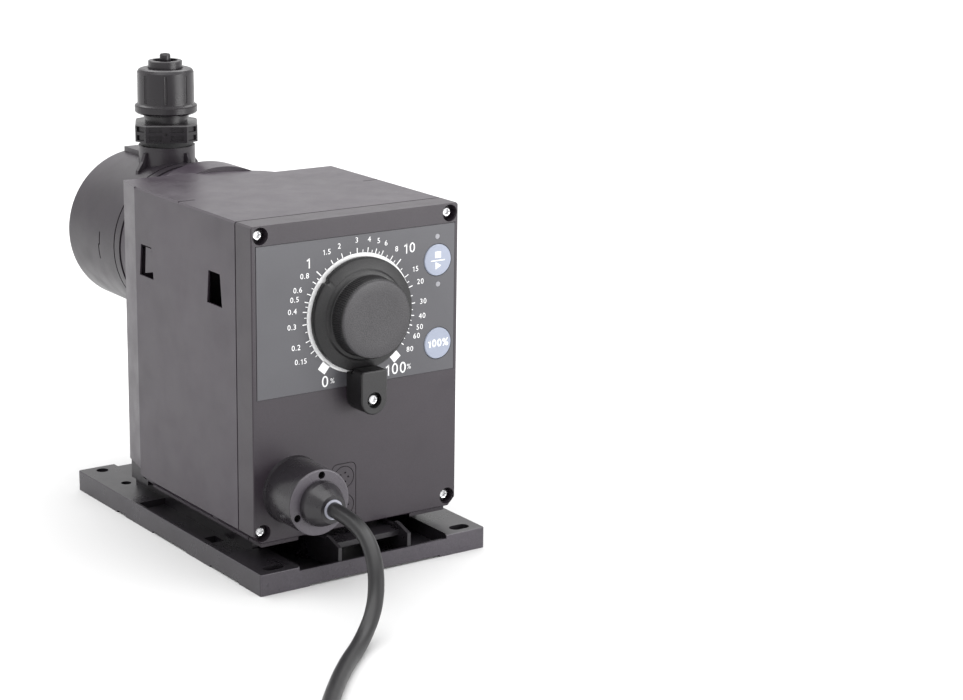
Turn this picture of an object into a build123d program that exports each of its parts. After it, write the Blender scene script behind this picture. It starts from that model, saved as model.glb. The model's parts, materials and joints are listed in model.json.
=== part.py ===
"""Diaphragm dosing pump with a dial, on its mounting plate, as separate pieces.

Units are millimetres.  Origin: centre of the mounting plate's underside.
+Z is up, -Y is the front with the dial, +Y is the end with the dosing head.
"""
from build123d import *
from math import acos, asin, atan2, cos, degrees, hypot, pi, radians, sin, sqrt, tan
import os

# ---- driving dimensions -------------------------------------------------------
PLATE_X, PLATE_Y, PLATE_Z = 120.0, 180.0, 10.0
PLATE_RIM = 1.6
PLATE_FLOOR, CHANNEL_FLOOR = 3.5, 6.8     # of the middle well and of the side channels
BOLT_X, BOLT_Y = 50.0, 83.6            # bolt holes, from the plate's centre
BOLT_R, SLOT_LENGTH = 3.0, 10.0
RAIL_TOP = 15.5

CASE_X = 108.0                         # width of the square control case
CASE_FRONT, CASE_BACK = -74.0, 34.0
CASE_BOTTOM, CASE_TOP = 17.8, 161.8
WALL = 2.5
COVER_DEPTH = 13.3
GASKET = 0.8
FACE_WALL = 3.0

AXIS_Z = 121.0                         # axis of dosing head, push rod and eccentric
HEAD_R = 38.6
NECK_BACK = 81.0
RING_BACK = 88.0
HEAD_BACK = 137.6
VALVE_Y = 103.7

DIAL_X, DIAL_Z = 1.2, 117.0
SKIRT_R, CAP_R = 25.8, 18.0
KEY_R = 7.3
START_KEY = (43.0, 136.3)
FULL_KEY = (43.4, 97.3)
KEY_TRAVEL = 0.5

GLAND_X, GLAND_Z = -33.6, 40.6
GLAND_R, GLAND_LENGTH = 15.2, 22.4
LEAD_R = 3.5

SHAFT_Y = -2.0                         # eccentric shaft, running along X
ECCENTRICITY = 1.5                     # half the stroke
MODULE = 1.0
GEAR_TEETH, PINION_TEETH = 54, 18

RUNNING = 0.05                         # radial clearance of a running fit
FREE = 0.3                             # gap between other moving faces

HALF_X = CASE_X / 2
COVER_BACK = CASE_FRONT + COVER_DEPTH
SHELL_FRONT = COVER_BACK + GASKET
parts = {}


# ---- plain shapes -------------------------------------------------------------
def block(x0, x1, y0, y1, z0, z1):
    """Box between two opposite corners."""
    return Pos((x0 + x1) / 2, (y0 + y1) / 2, (z0 + z1) / 2) * Box(x1 - x0, y1 - y0, z1 - z0)


def rod_x(r, x0, x1, y, z):
    return Pos((x0 + x1) / 2, y, z) * Rot(0, 90, 0) * Cylinder(r, x1 - x0)


def rod_y(r, y0, y1, x, z):
    return Pos(x, (y0 + y1) / 2, z) * Rot(90, 0, 0) * Cylinder(r, y1 - y0)


def rod_z(r, z0, z1, x, y):
    return Pos(x, y, (z0 + z1) / 2) * Cylinder(r, z1 - z0)


def cone_y(r_front, r_back, y0, y1, x, z):
    """Cone along Y, with r_front at y0 and r_back at y1."""
    return Pos(x, (y0 + y1) / 2, z) * Rot(90, 0, 0) * Cone(r_back, r_front, y1 - y0)


def cone_z(r_low, r_high, z0, z1, x, y):
    return Pos(x, y, (z0 + z1) / 2) * Cone(r_low, r_high, z1 - z0)


def prism_y(points, y0, y1):
    """Outline given as (x, z) points, extruded from y0 to y1."""
    plane = Plane(origin=(0, y0, 0), x_dir=(1, 0, 0), z_dir=(0, 1, 0))
    flat = [(x, -z) for x, z in points]
    return extrude(plane * Polygon(*flat, align=None), y1 - y0, dir=(0, 1, 0))


def prism_x(points, x0, x1):
    """Outline given as (y, z) points, extruded from x0 to x1."""
    plane = Plane(origin=(x0, 0, 0), x_dir=(0, 1, 0), z_dir=(1, 0, 0))
    return extrude(plane * Polygon(*points, align=None), x1 - x0, dir=(1, 0, 0))


def turned_z(outline, x, y):
    """Body of revolution about the vertical line at (x, y); outline is (radius, z) points."""
    face = Plane.XZ * Polygon(*outline, align=None)
    return Pos(x, y, 0) * revolve(face, Axis.Z)


def turned_y(outline, x, z):
    """Body of revolution about the line along Y at (x, z); outline is (radius, y) points."""
    face = Plane.XY * Polygon(*outline, align=None)
    return Pos(x, 0, z) * revolve(face, Axis.Y)


def group(shapes):
    """Several separate solids in one node."""
    return Compound(children=[s.solids()[0] for s in shapes])


def flip_z(shape):
    """Mirror image below the head's axis, for the suction side."""
    return mirror(shape, Plane(origin=(0, 0, AXIS_Z), z_dir=(0, 0, 1)))


def above_and_below(shape):
    """The same piece on the discharge side and on the suction side."""
    return group([shape, flip_z(shape)])


# ---- mounting plate -----------------------------------------------------------
FRONT_PAD_X, FRONT_PAD_Y = 39.4, -58.0
GUIDE_X, GUIDE_WALL = 18.5, 1.8
RAIL_X, RAIL_WALL = 43.0, 3.0
WELL_BACK, CHANNEL_BACK = 52.0, 28.0
FEET_GAPS = ((39.4, 47.9), (-21.4, 11.4), (-70.7, -44.2))    # between the feet along each side
TONGUE_TOP = 14.2


def slot_z(x, y, length, r, z0, z1):
    half = length / 2 - r
    middle = block(x - half, x + half, y - r, y + r, z0, z1)
    return middle + rod_z(r, z0, z1, x - half, y) + rod_z(r, z0, z1, x + half, y)


def mounting_plate():
    hx, hy = PLATE_X / 2, PLATE_Y / 2
    plate = block(-hx, hx, -hy, hy, 0, PLATE_Z)
    plate = fillet(plate.edges().filter_by(Axis.Z), 1.0)
    plate = fillet(plate.edges().group_by(Axis.Z)[-1], 0.4)
    well = RAIL_X - RAIL_WALL / 2
    plate -= block(-well, well, -hy + PLATE_RIM, WELL_BACK, PLATE_FLOOR, PLATE_Z)
    plate -= block(-FRONT_PAD_X - 0.8, FRONT_PAD_X - 0.8, -hy, -hy + PLATE_RIM, PLATE_Z - 1.7, PLATE_Z)
    for side in (-1, 1):
        inner, outer = sorted((side * well, side * (hx - PLATE_RIM)))
        plate -= block(inner, outer, FRONT_PAD_Y, CHANNEL_BACK, CHANNEL_FLOOR, PLATE_Z)
        inner, outer = sorted((side * FRONT_PAD_X, side * well))
        plate += block(inner, outer, -hy + PLATE_RIM, FRONT_PAD_Y, PLATE_FLOOR, PLATE_Z)
        edge = side * RAIL_X
        plate += block(edge - RAIL_WALL / 2, edge + RAIL_WALL / 2, -56, WELL_BACK + 6, PLATE_FLOOR, RAIL_TOP)
        guide = [(-hy + 1, PLATE_FLOOR), (50, PLATE_FLOOR), (50, RAIL_TOP), (-78, RAIL_TOP),
                 (-78, 17.2), (-80, 17.2), (-hy + 1, RAIL_TOP - 1)]
        rib = side * GUIDE_X
        plate += prism_x(guide, rib - GUIDE_WALL / 2, rib + GUIDE_WALL / 2)
    inside = GUIDE_X - GUIDE_WALL / 2
    plate += block(-inside, inside, -82, -62, TONGUE_TOP - 2.4, TONGUE_TOP)
    plate += block(-inside, inside, -64, -61, PLATE_FLOOR, TONGUE_TOP)
    plate -= block(-40.5, 40.5, hy - 4.5, hy, 0, PLATE_Z)
    for side in (-1, 1):
        plate -= slot_z(side * BOLT_X, -BOLT_Y, SLOT_LENGTH, BOLT_R, 0, PLATE_Z)
        plate -= rod_z(BOLT_R, 0, PLATE_Z, side * BOLT_X, BOLT_Y)
        plate -= rod_z(2.5, 0, PLATE_Z, side * 49.4, 59.0)
        plate -= block(side * 49.5 - 3, side * 49.5 + 3, -33, -25, 0, CHANNEL_FLOOR)
        for y0, y1 in FEET_GAPS:
            edge = sorted((side * hx, side * (hx - 12)))
            plate -= block(edge[0], edge[1], y0, y1, 0, 1.0)
    plate -= block(-35, 35, -hy, -hy + 12, 0, 1.0)
    return plate


# ---- control case -------------------------------------------------------------
COVER_SCREWS = [(x, z) for x in (-49.4, 49.4) for z in (22.8, 157.3)]
RECESS_R, RECESS_DEPTH = 3.9, 5.0
FOIL_DEPTH, FOIL_GAP = 0.6, 0.4
FOIL = (-51.9, 52.4, 84.0, 153.0)      # x0, x1, z0, z1
LEDS = [(42.9, 147.2), (43.4, 125.0)]
SOCKET_PANEL = (-13.6, -0.6, 21.0, 48.3)
SOCKETS = [(-7.1, 41.6), (-7.1, 28.4)]
SOCKET_DEPTH = 1.5
TAB_SCREW_Z = 79.5
CORNER = 3.8


def case_outline(inset=0.0):
    """Square case seen from the front: small top corners, chamfered bottom corners."""
    x = HALF_X - inset
    low, high = CASE_BOTTOM + inset, CASE_TOP - inset
    c, t = CORNER, 0.8
    return [(-x + c, low), (x - c, low), (x, low + c), (x, high - t), (x - t, high),
            (-x + t, high), (-x, high - t), (-x, low + c)]


EDGE = 0.5                             # rounding of moulded edges


def front_cover():
    cover = prism_y(case_outline(), CASE_FRONT, COVER_BACK)
    cover = fillet(cover.edges().group_by(Axis.Y)[0], EDGE)
    cover -= prism_y(case_outline(WALL), CASE_FRONT + FACE_WALL, COVER_BACK)
    x0, x1, z0, z1 = FOIL
    cover -= block(x0, x1, CASE_FRONT, CASE_FRONT + FOIL_DEPTH, z0, z1)
    for x, z in COVER_SCREWS:
        cover += rod_y(4.4, CASE_FRONT + FACE_WALL, COVER_BACK, x, z) & prism_y(
            case_outline(), CASE_FRONT, COVER_BACK)
        cover -= rod_y(RECESS_R, CASE_FRONT, CASE_FRONT + RECESS_DEPTH, x, z)
        cover -= rod_y(1.7, CASE_FRONT, COVER_BACK, x, z)
    for x, z in (START_KEY, FULL_KEY):
        cover -= rod_y(KEY_R + 0.4, CASE_FRONT, CASE_FRONT + 2.2, x, z)
    for x, z in LEDS:
        cover -= rod_y(1.3, CASE_FRONT, CASE_FRONT + FACE_WALL, x, z)
    cover -= rod_y(4.6, CASE_FRONT, CASE_FRONT + FACE_WALL, DIAL_X, DIAL_Z)
    cover -= rod_y(6.0, CASE_FRONT, CASE_FRONT + FACE_WALL, GLAND_X, GLAND_Z)
    cover -= rod_y(1.25, CASE_FRONT, CASE_FRONT + FACE_WALL, DIAL_X, TAB_SCREW_Z)
    cover -= socket_plate(0)
    for side in (-1, 1):
        x0, x1 = sorted((side * 30.0, side * 49.0))
        cover += block(x0, x1, CASE_FRONT + 2.0, COVER_BACK, RAIL_TOP, CASE_BOTTOM)
    return cover


def cover_gasket():
    ring = prism_y(case_outline(1.4), COVER_BACK, SHELL_FRONT)
    ring -= prism_y(case_outline(WALL), COVER_BACK, SHELL_FRONT)
    for x, z in COVER_SCREWS:
        ring -= rod_y(1.7, COVER_BACK, SHELL_FRONT, x, z)
    return ring


def torx_screw(x, z, y_head, head_r, head_h, shank_r, length):
    """Pan head screw along Y, its head towards the front."""
    screw = rod_y(head_r, y_head, y_head + head_h, x, z)
    screw += rod_y(shank_r, y_head + head_h, y_head + length, x, z)
    return screw - rod_y(head_r * 0.42, y_head, y_head + head_h * 0.6, x, z)


WINDOW_Y = (-41.2, 23.3)               # middles of the two hook windows
WINDOW_Z = (120.9, 135.8)
WINDOW_WALL = 0.8                      # the wall is thin round a window
ARM_Z = (136.6, 142.0)                 # arm of the latch behind the rear window
OPENING = (-24.0, 50.9, 58.0, 153.0)   # x0, x1, z0, z1 in the case's back wall


def window(y, x0, x1):
    low, high = WINDOW_Z
    return prism_x([(y - 6.8, low), (y + 6.8, low), (y + 5.1, high), (y - 5.1, high)], x0, x1)


def control_case():
    case = prism_y(case_outline(), SHELL_FRONT, CASE_BACK)
    case -= prism_y(case_outline(WALL), SHELL_FRONT, CASE_BACK - WALL)
    for x, z in COVER_SCREWS:
        boss = rod_y(4.4, SHELL_FRONT, SHELL_FRONT + 20, x, z)
        case += boss & prism_y(case_outline(), SHELL_FRONT, CASE_BACK)
        case -= rod_y(1.5, SHELL_FRONT, SHELL_FRONT + 16, x, z)
    x0, x1, z0, z1 = OPENING
    case -= block(x0, x1, CASE_BACK - WALL, CASE_BACK, z0, z1)
    case -= rod_y(12, CASE_BACK - WALL, CASE_BACK, 0, AXIS_Z)
    for side in (-1, 1):
        x0, x1 = sorted((side * HALF_X, side * (HALF_X - WALL)))
        x4, x5 = sorted((side * (HALF_X - WALL), side * (HALF_X - WINDOW_WALL)))
        for y in WINDOW_Y:
            case -= window(y, x0, x1)
            case -= block(x4, x5, y - 8.6, y + 8.6, WINDOW_Z[0] - 1.8, WINDOW_Z[1] + 1.8)
        x6, x7 = sorted((side * HALF_X, side * (HALF_X - 9.0)))
        case -= block(x6, x7, -8.5, -7.7, CASE_TOP - 0.4, CASE_TOP)
        case -= block(x0, x1, 24, 33.5, CASE_BOTTOM, 21.0)
        x2, x3 = sorted((side * 48.8, side * (HALF_X - WALL)))
        case -= block(x2, x3, CASE_BACK - WALL, CASE_BACK, ARM_Z[0] - 0.6, ARM_Z[1] + 0.6)
        case -= block(x0, x1, -37.5, -32.0, CASE_BOTTOM, 20.6)
    case += block(-49, 49, SHELL_FRONT, CASE_BACK - 3, RAIL_TOP, CASE_BOTTOM)
    return case


def keypad_foil():
    x0, x1, z0, z1 = FOIL
    y0, y1 = CASE_FRONT + 0.1, CASE_FRONT + FOIL_DEPTH
    foil = block(x0 + FOIL_GAP, x1 - 0.1, y0, y1, z0 + 0.1, z1 - FOIL_GAP)
    for x, z in (START_KEY, FULL_KEY):
        foil -= rod_y(KEY_R + FREE, y0, y1, x, z)
    for x, z in LEDS:
        foil -= rod_y(1.3, y0, y1, x, z)
    return foil - rod_y(4.6, y0, y1, DIAL_X, DIAL_Z)


def key(x, z):
    """Round key with a slightly domed face."""
    front = CASE_FRONT - 0.3
    disc = rod_y(KEY_R, front, front + 1.6, x, z)
    return chamfer(disc.edges().group_by(Axis.Y)[0], 0.35)


def status_leds():
    return group([rod_y(1.2, CASE_FRONT + 0.1, CASE_FRONT + 3.4, x, z) for x, z in LEDS])


def socket_plate(gap):
    """Upright plate with rounded top corners, drawn in by gap all round."""
    x0, x1, z0, z1 = SOCKET_PANEL
    plate = block(x0 + gap, x1 - gap, CASE_FRONT, CASE_FRONT + SOCKET_DEPTH, z0 + gap, z1 - gap)
    return fillet(plate.edges().filter_by(Axis.Y).group_by(Axis.Z)[-1], 3.0 - gap)


def socket_panel():
    panel = socket_plate(0.3)
    for x, z in SOCKETS:
        panel -= rod_y(5.3, CASE_FRONT, CASE_FRONT + SOCKET_DEPTH, x, z)
    return panel


def socket_caps():
    caps = []
    for x, z in SOCKETS:
        cap = rod_y(5.0, CASE_FRONT, CASE_FRONT + SOCKET_DEPTH, x, z)
        for k in range(5):
            turn = 2 * pi * k / 5
            cap -= rod_y(0.45, CASE_FRONT, CASE_FRONT + 0.6, x + 2.2 * cos(turn), z + 2.2 * sin(turn))
        caps.append(cap)
    return group(caps)


# ---- dial ---------------------------------------------------------------------
SKIRT_FRONT = CASE_FRONT - 4.0
CAP_FRONT = CASE_FRONT - 14.0
POINTER = 138.0                        # degrees from +X, seen from the front
TAB_HALF, TAB_TOP, TAB_FRONT = 6.8, 90.8, CASE_FRONT - 12.5
LIP_TOP = 93.2                         # the tab's lip reaches up in front of the skirt


def adjustment_knob():
    back = CASE_FRONT - FREE
    knob = turned_y([(0, back), (SKIRT_R, back), (SKIRT_R, SKIRT_FRONT + 0.6),
                     (SKIRT_R - 0.6, SKIRT_FRONT), (CAP_R + 0.5, SKIRT_FRONT),
                     (CAP_R, CAP_FRONT + 1.2), (CAP_R - 1.2, CAP_FRONT), (0, CAP_FRONT)],
                    DIAL_X, DIAL_Z)
    x = DIAL_X + (SKIRT_R - 0.6) * cos(radians(POINTER))
    z = DIAL_Z + (SKIRT_R - 0.6) * sin(radians(POINTER))
    notch = Pos(x, back - 2, z) * Rot(0, -POINTER, 0) * Box(4.0, 4.6, 2.2)
    return knob - notch - rod_y(3.0, CASE_FRONT - 10, back, DIAL_X, DIAL_Z)


def dial_shaft():
    return rod_y(3.0, CASE_FRONT - 10, CASE_FRONT + 16, DIAL_X, DIAL_Z)


def dial_sensor():
    """Potentiometer: threaded bush through the cover, and its round can on the board."""
    bush = rod_y(4.5, CASE_FRONT + 0.6, CASE_FRONT + 10, DIAL_X, DIAL_Z)
    can = rod_y(9.0, CASE_FRONT + 10, CASE_FRONT + 19.2, DIAL_X, DIAL_Z)
    nut = rod_y(6.5, CASE_FRONT + FACE_WALL, CASE_FRONT + 5, DIAL_X, DIAL_Z)
    return bush + can + nut - rod_y(3.0 + RUNNING, CASE_FRONT, CASE_FRONT + 16.4, DIAL_X, DIAL_Z)


def knob_tab():
    """Guard block under the knob, held by one screw, with a lip in front of the knob's skirt."""
    low = TAB_SCREW_Z
    tab = block(DIAL_X - TAB_HALF, DIAL_X + TAB_HALF, TAB_FRONT, CASE_FRONT, low, TAB_TOP)
    tab += rod_y(TAB_HALF, TAB_FRONT, CASE_FRONT, DIAL_X, low)
    lip = block(DIAL_X - TAB_HALF, DIAL_X + TAB_HALF, TAB_FRONT, SKIRT_FRONT - 0.9, low, LIP_TOP)
    tab += fillet(lip.edges().filter_by(Axis.Y).group_by(Axis.Z)[-1], 1.8)
    tab = fillet(tab.edges().group_by(Axis.Y)[0], 0.8)
    tab -= rod_y(3.7, TAB_FRONT, TAB_FRONT + 3.0, DIAL_X, low)
    return tab - rod_y(1.4, TAB_FRONT, CASE_FRONT, DIAL_X, low)


# ---- mains entry --------------------------------------------------------------
GLAND_FRONT = CASE_FRONT - GLAND_LENGTH
CONE_FRONT = GLAND_FRONT - 11.2
SEAL_FRONT = CONE_FRONT - 0.4
LIP = 1.6
GLAND_SCREW_R = 12.5


def gland_body():
    body = turned_y([(0, CASE_FRONT), (GLAND_R + 0.5, CASE_FRONT), (GLAND_R, CASE_FRONT - 1.5),
                     (GLAND_R, GLAND_FRONT), (0, GLAND_FRONT)], GLAND_X, GLAND_Z)
    body = fillet(body.edges().group_by(Axis.Y)[0], 0.8)
    body -= rod_y(9.0, GLAND_FRONT, GLAND_FRONT + 8, GLAND_X, GLAND_Z)
    body -= rod_y(5.0, GLAND_FRONT, CASE_FRONT, GLAND_X, GLAND_Z)
    for x, z in gland_screw_places():
        body -= rod_y(1.7, GLAND_FRONT, GLAND_FRONT + 16, x, z)
    return body


def gland_screw_places():
    turns = [radians(a) for a in (85, 205, 325)]
    return [(GLAND_X + GLAND_SCREW_R * cos(t), GLAND_Z + GLAND_SCREW_R * sin(t)) for t in turns]


def gland_nut():
    cone = turned_y([(0, GLAND_FRONT + 7), (8.9, GLAND_FRONT + 7), (8.9, GLAND_FRONT),
                     (10.4, GLAND_FRONT), (10.4, GLAND_FRONT - 1.4), (10.0, GLAND_FRONT - 3.6),
                     (8.2, GLAND_FRONT - 7.6), (6.4, CONE_FRONT), (0, CONE_FRONT)], GLAND_X, GLAND_Z)
    cone -= rod_y(4.6, CONE_FRONT, CONE_FRONT + LIP, GLAND_X, GLAND_Z)
    return cone - rod_y(5.0, CONE_FRONT + LIP, GLAND_FRONT + 7, GLAND_X, GLAND_Z)


def gland_seal():
    """Seal round the lead, held behind the nut's lip."""
    front = rod_y(4.5, SEAL_FRONT, CONE_FRONT + LIP, GLAND_X, GLAND_Z)
    return front + rod_y(4.9, CONE_FRONT + LIP, GLAND_FRONT + 6, GLAND_X, GLAND_Z)


# ---- drive --------------------------------------------------------------------
FRAME_LEFT, FRAME_RIGHT = -15.0, 17.0   # inner plate's outer face, motor plate's inner face
FRAME_WALL = 3.0
FRAME_BACK = CASE_BACK
FRAME_BOTTOM, FRAME_TOP = 62.0, 150.0
GEAR_X = (8.0, 14.0)
GEAR_PITCH_R = GEAR_TEETH * MODULE / 2
PINION_PITCH_R = PINION_TEETH * MODULE / 2
MOTOR_Z = AXIS_Z - GEAR_PITCH_R - PINION_PITCH_R
MOTOR_HALF = 21.0
MOTOR_END = 50.0
SHAFT_R, PINION_SHAFT_R = 3.0, 2.5
ECCENTRIC_R = 9.0
YOKE_GAP = 0.4
ROD_R = 5.0
CORE_FRONT = 81.0


def gear_face(teeth, backlash=0.22, pressure=20.0, addendum=0.95):
    """Spur gear outline with involute flanks; a tooth points along the first axis."""
    pitch = teeth * MODULE / 2
    base = pitch * cos(radians(pressure))
    tip = pitch + addendum * MODULE
    root = pitch - 1.25 * MODULE
    involute_pitch = tan(radians(pressure)) - radians(pressure)
    half = pi / (2 * teeth) - backlash / (2 * pitch)
    radii = [base + (tip - base) * k / 4 for k in range(5)]
    flank = []
    for r in radii:
        angle = acos(min(1.0, base / r))
        flank.append((r, half + involute_pitch - (tan(angle) - angle)))
    if root < base:
        flank.insert(0, (root, flank[0][1]))
    points = []
    for tooth in range(teeth):
        middle = 2 * pi * tooth / teeth
        points += [(r, middle - a) for r, a in flank]
        points += [(r, middle + a) for r, a in reversed(flank)]
    return Polygon(*[(r * cos(a), r * sin(a)) for r, a in points], align=None)


def gear(teeth, x0, x1, y, z, turn_deg):
    """Spur gear on an axis along X; turn_deg is the angle of one tooth from +Y towards +Z."""
    plane = Plane(origin=(x0, y, z), x_dir=(0, 1, 0), z_dir=(1, 0, 0))
    return extrude(plane * Rot(0, 0, turn_deg) * gear_face(teeth), x1 - x0, dir=(1, 0, 0))


def drive_gear():
    wheel = gear(GEAR_TEETH, *GEAR_X, SHAFT_Y, AXIS_Z, 270.0)
    for k in range(6):
        turn = 2 * pi * (k + 0.5) / 6
        wheel -= rod_x(5.0, *GEAR_X, SHAFT_Y + 16 * cos(turn), AXIS_Z + 16 * sin(turn))
    return wheel - rod_x(SHAFT_R, *GEAR_X, SHAFT_Y, AXIS_Z)


def motor_pinion():
    gap = 180.0 / PINION_TEETH
    wheel = gear(PINION_TEETH, *GEAR_X, SHAFT_Y, MOTOR_Z, 90.0 + gap)
    return wheel - rod_x(PINION_SHAFT_R, *GEAR_X, SHAFT_Y, MOTOR_Z)


def eccentric_shaft():
    shaft = rod_x(SHAFT_R, FRAME_LEFT, FRAME_RIGHT + FRAME_WALL, SHAFT_Y, AXIS_Z)
    return shaft + rod_x(5.0, 3.0, GEAR_X[0], SHAFT_Y, AXIS_Z)


def eccentric_disc():
    disc = rod_x(ECCENTRIC_R, -3, 3, SHAFT_Y - ECCENTRICITY, AXIS_Z)
    return disc - rod_x(SHAFT_R, -3, 3, SHAFT_Y, AXIS_Z)


def shaft_bushes():
    left = rod_x(5.5, FRAME_LEFT, FRAME_LEFT + FRAME_WALL, SHAFT_Y, AXIS_Z)
    right = rod_x(5.5, FRAME_RIGHT, FRAME_RIGHT + FRAME_WALL, SHAFT_Y, AXIS_Z)
    bore = rod_x(SHAFT_R + RUNNING, FRAME_LEFT, FRAME_RIGHT + FRAME_WALL, SHAFT_Y, AXIS_Z)
    return group([left - bore, right - bore])


def drive_frame():
    """Metal bracket: two side plates for the shaft and a back plate on the drive housing."""
    y0 = SHAFT_Y - 12
    back = FRAME_BACK - FRAME_WALL
    frame = block(FRAME_LEFT, FRAME_LEFT + FRAME_WALL, y0, FRAME_BACK, FRAME_BOTTOM, FRAME_TOP)
    frame += block(FRAME_RIGHT, FRAME_RIGHT + FRAME_WALL, y0 - 9, FRAME_BACK, FRAME_BOTTOM, FRAME_TOP)
    frame += block(FRAME_LEFT, FRAME_RIGHT + FRAME_WALL, back, FRAME_BACK, FRAME_BOTTOM, FRAME_TOP)
    frame -= rod_x(5.5, FRAME_LEFT, FRAME_RIGHT + FRAME_WALL, SHAFT_Y, AXIS_Z)
    frame -= rod_x(4.0, FRAME_RIGHT, FRAME_RIGHT + FRAME_WALL, SHAFT_Y, MOTOR_Z)
    frame -= rod_y(8.0, back, FRAME_BACK, 0, AXIS_Z)
    for y, z in motor_screw_places():
        frame -= rod_x(1.5, FRAME_RIGHT, FRAME_RIGHT + FRAME_WALL, y, z)
    return frame


def motor_screw_places():
    return [(SHAFT_Y + a, MOTOR_Z + b) for a in (-15.5, 15.5) for b in (-15.5, 15.5)]


def stepper_motor():
    x0 = FRAME_RIGHT + FRAME_WALL
    can = block(x0, MOTOR_END, SHAFT_Y - MOTOR_HALF, SHAFT_Y + MOTOR_HALF,
                MOTOR_Z - MOTOR_HALF, MOTOR_Z + MOTOR_HALF)
    can = chamfer(can.edges().filter_by(Axis.X), 4.0)
    can -= rod_x(PINION_SHAFT_R + RUNNING, x0, x0 + 6, SHAFT_Y, MOTOR_Z)
    for y, z in motor_screw_places():
        can -= rod_x(1.5, x0, x0 + 5, y, z)
    return can


def motor_screws():
    head = FRAME_RIGHT - 1.6
    return group([rod_x(2.6, head, FRAME_RIGHT, y, z) + rod_x(1.5, FRAME_RIGHT, FRAME_RIGHT + 7, y, z)
                  for y, z in motor_screw_places()])


def motor_shaft():
    return rod_x(PINION_SHAFT_R, GEAR_X[0], FRAME_RIGHT + FRAME_WALL + 5.6, SHAFT_Y, MOTOR_Z)


def push_rod():
    """Yoke round the eccentric, and the round rod that pushes the diaphragm."""
    middle = SHAFT_Y - ECCENTRICITY
    inner = ECCENTRIC_R + YOKE_GAP
    slot = ECCENTRIC_R + ECCENTRICITY + 0.6
    wall = 3.0
    yoke = block(-3.5, 3.5, middle - inner - wall, middle + inner + wall,
                 AXIS_Z - slot - wall, AXIS_Z + slot + wall)
    yoke -= block(-3.5, 3.5, middle - inner, middle + inner, AXIS_Z - slot, AXIS_Z + slot)
    return yoke + rod_y(ROD_R, middle + inner + wall - 0.5, CORE_FRONT, 0, AXIS_Z)


def rod_bush():
    bush = rod_y(8.0, FRAME_BACK - FRAME_WALL, FRAME_BACK + 3, 0, AXIS_Z)
    return bush - rod_y(ROD_R + RUNNING, FRAME_BACK - FRAME_WALL, FRAME_BACK + 3, 0, AXIS_Z)


# ---- drive housing and diaphragm ----------------------------------------------
TAPER_BACK = 51.6
COLLAR_R, COLLAR_BACK = 43.0, 66.0
NECK_BORE = 29.0
FOOT_TOP = 25.0
HEAD_SCREW_AT, HEAD_SCREW_R = 34.0, 2.0


def head_screw_places():
    turns = [radians(45 + 90 * k) for k in range(4)]
    return [(HEAD_SCREW_AT * cos(t), AXIS_Z + HEAD_SCREW_AT * sin(t)) for t in turns]


def section(y, half, shoulder, ridge):
    """Cross-section of the drive housing at y: flat left roof, lower right shoulder."""
    plane = Plane(origin=(0, y, 0), x_dir=(1, 0, 0), z_dir=(0, 1, 0))
    points = [(-half, FOOT_TOP), (half, FOOT_TOP), (half, shoulder), (ridge, shoulder + 5.4),
              (0, CASE_TOP), (-half, CASE_TOP)]
    return plane * Polygon(*[(x, -z) for x, z in points], align=None)


def drive_housing():
    body = loft([section(CASE_BACK, HALF_X, 155.5, 27.0), section(TAPER_BACK, 50.6, 154.0, 24.0)], ruled=True)
    body -= block(-46, 46, CASE_BACK + 3, TAPER_BACK - 3, FOOT_TOP + 3, 149)
    body += rod_y(COLLAR_R, TAPER_BACK - 3, COLLAR_BACK, 0, AXIS_Z)
    body += rod_y(HEAD_R - 0.4, COLLAR_BACK, NECK_BACK, 0, AXIS_Z)
    body -= rod_y(NECK_BORE, TAPER_BACK - 3, NECK_BACK, 0, AXIS_Z)
    body -= rod_y(8.0, CASE_BACK, CASE_BACK + 3, 0, AXIS_Z)
    for x, z in head_screw_places():
        body -= rod_y(HEAD_SCREW_R, NECK_BACK - 16, NECK_BACK, x, z)
    for side in (-1, 1):
        x0, x1 = sorted((side * 49.0, side * 51.2))
        body += block(x0, x1, 17.0, CASE_BACK + 1, *ARM_Z)
        body += block(x0, x1, 17.0, 24.0, 124.4, ARM_Z[0])
        x0, x1 = sorted((side * 51.2, side * 53.8))
        body += prism_x([(17.2, 124.4), (25.0, 122.6), (24.0, 135.2), (18.6, 135.2)], x0, x1)
    return body


def rear_foot():
    """Foot under the drive housing, which hooks over the plate's rails."""
    foot = block(-50.2, 50.2, CASE_BACK + 0.3, TAPER_BACK - 0.6, RAIL_TOP, FOOT_TOP)
    for side in (-1, 1):
        x0, x1 = sorted((side * (RAIL_X - 1.5 - 0.4), side * (RAIL_X - 4.5)))
        foot += block(x0, x1, CASE_BACK + 2, TAPER_BACK - 2, 9.0, RAIL_TOP)
    return foot


def diaphragm_ring():
    ring = rod_y(HEAD_R - 1.2, NECK_BACK, RING_BACK, 0, AXIS_Z)
    ring += rod_y(HEAD_R, NECK_BACK + 1.0, RING_BACK - 1.0, 0, AXIS_Z)
    ring -= rod_y(24.0, NECK_BACK, RING_BACK, 0, AXIS_Z)
    ring -= rod_y(29.5, RING_BACK - 2.0, RING_BACK, 0, AXIS_Z)
    for x, z in head_screw_places():
        ring -= rod_y(HEAD_SCREW_R + 0.1, NECK_BACK, RING_BACK, x, z)
    return ring


def diaphragm():
    """Flexible ring of the diaphragm, clamped at its rim."""
    web = rod_y(29.5, RING_BACK - 2.0, RING_BACK, 0, AXIS_Z)
    return web - rod_y(14.5, RING_BACK - 2.0, RING_BACK, 0, AXIS_Z)


def diaphragm_core():
    core = rod_y(14.0, CORE_FRONT, CORE_FRONT + 5, 0, AXIS_Z)
    return chamfer(core.edges().group_by(Axis.Y)[-1], 1.2)


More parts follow.
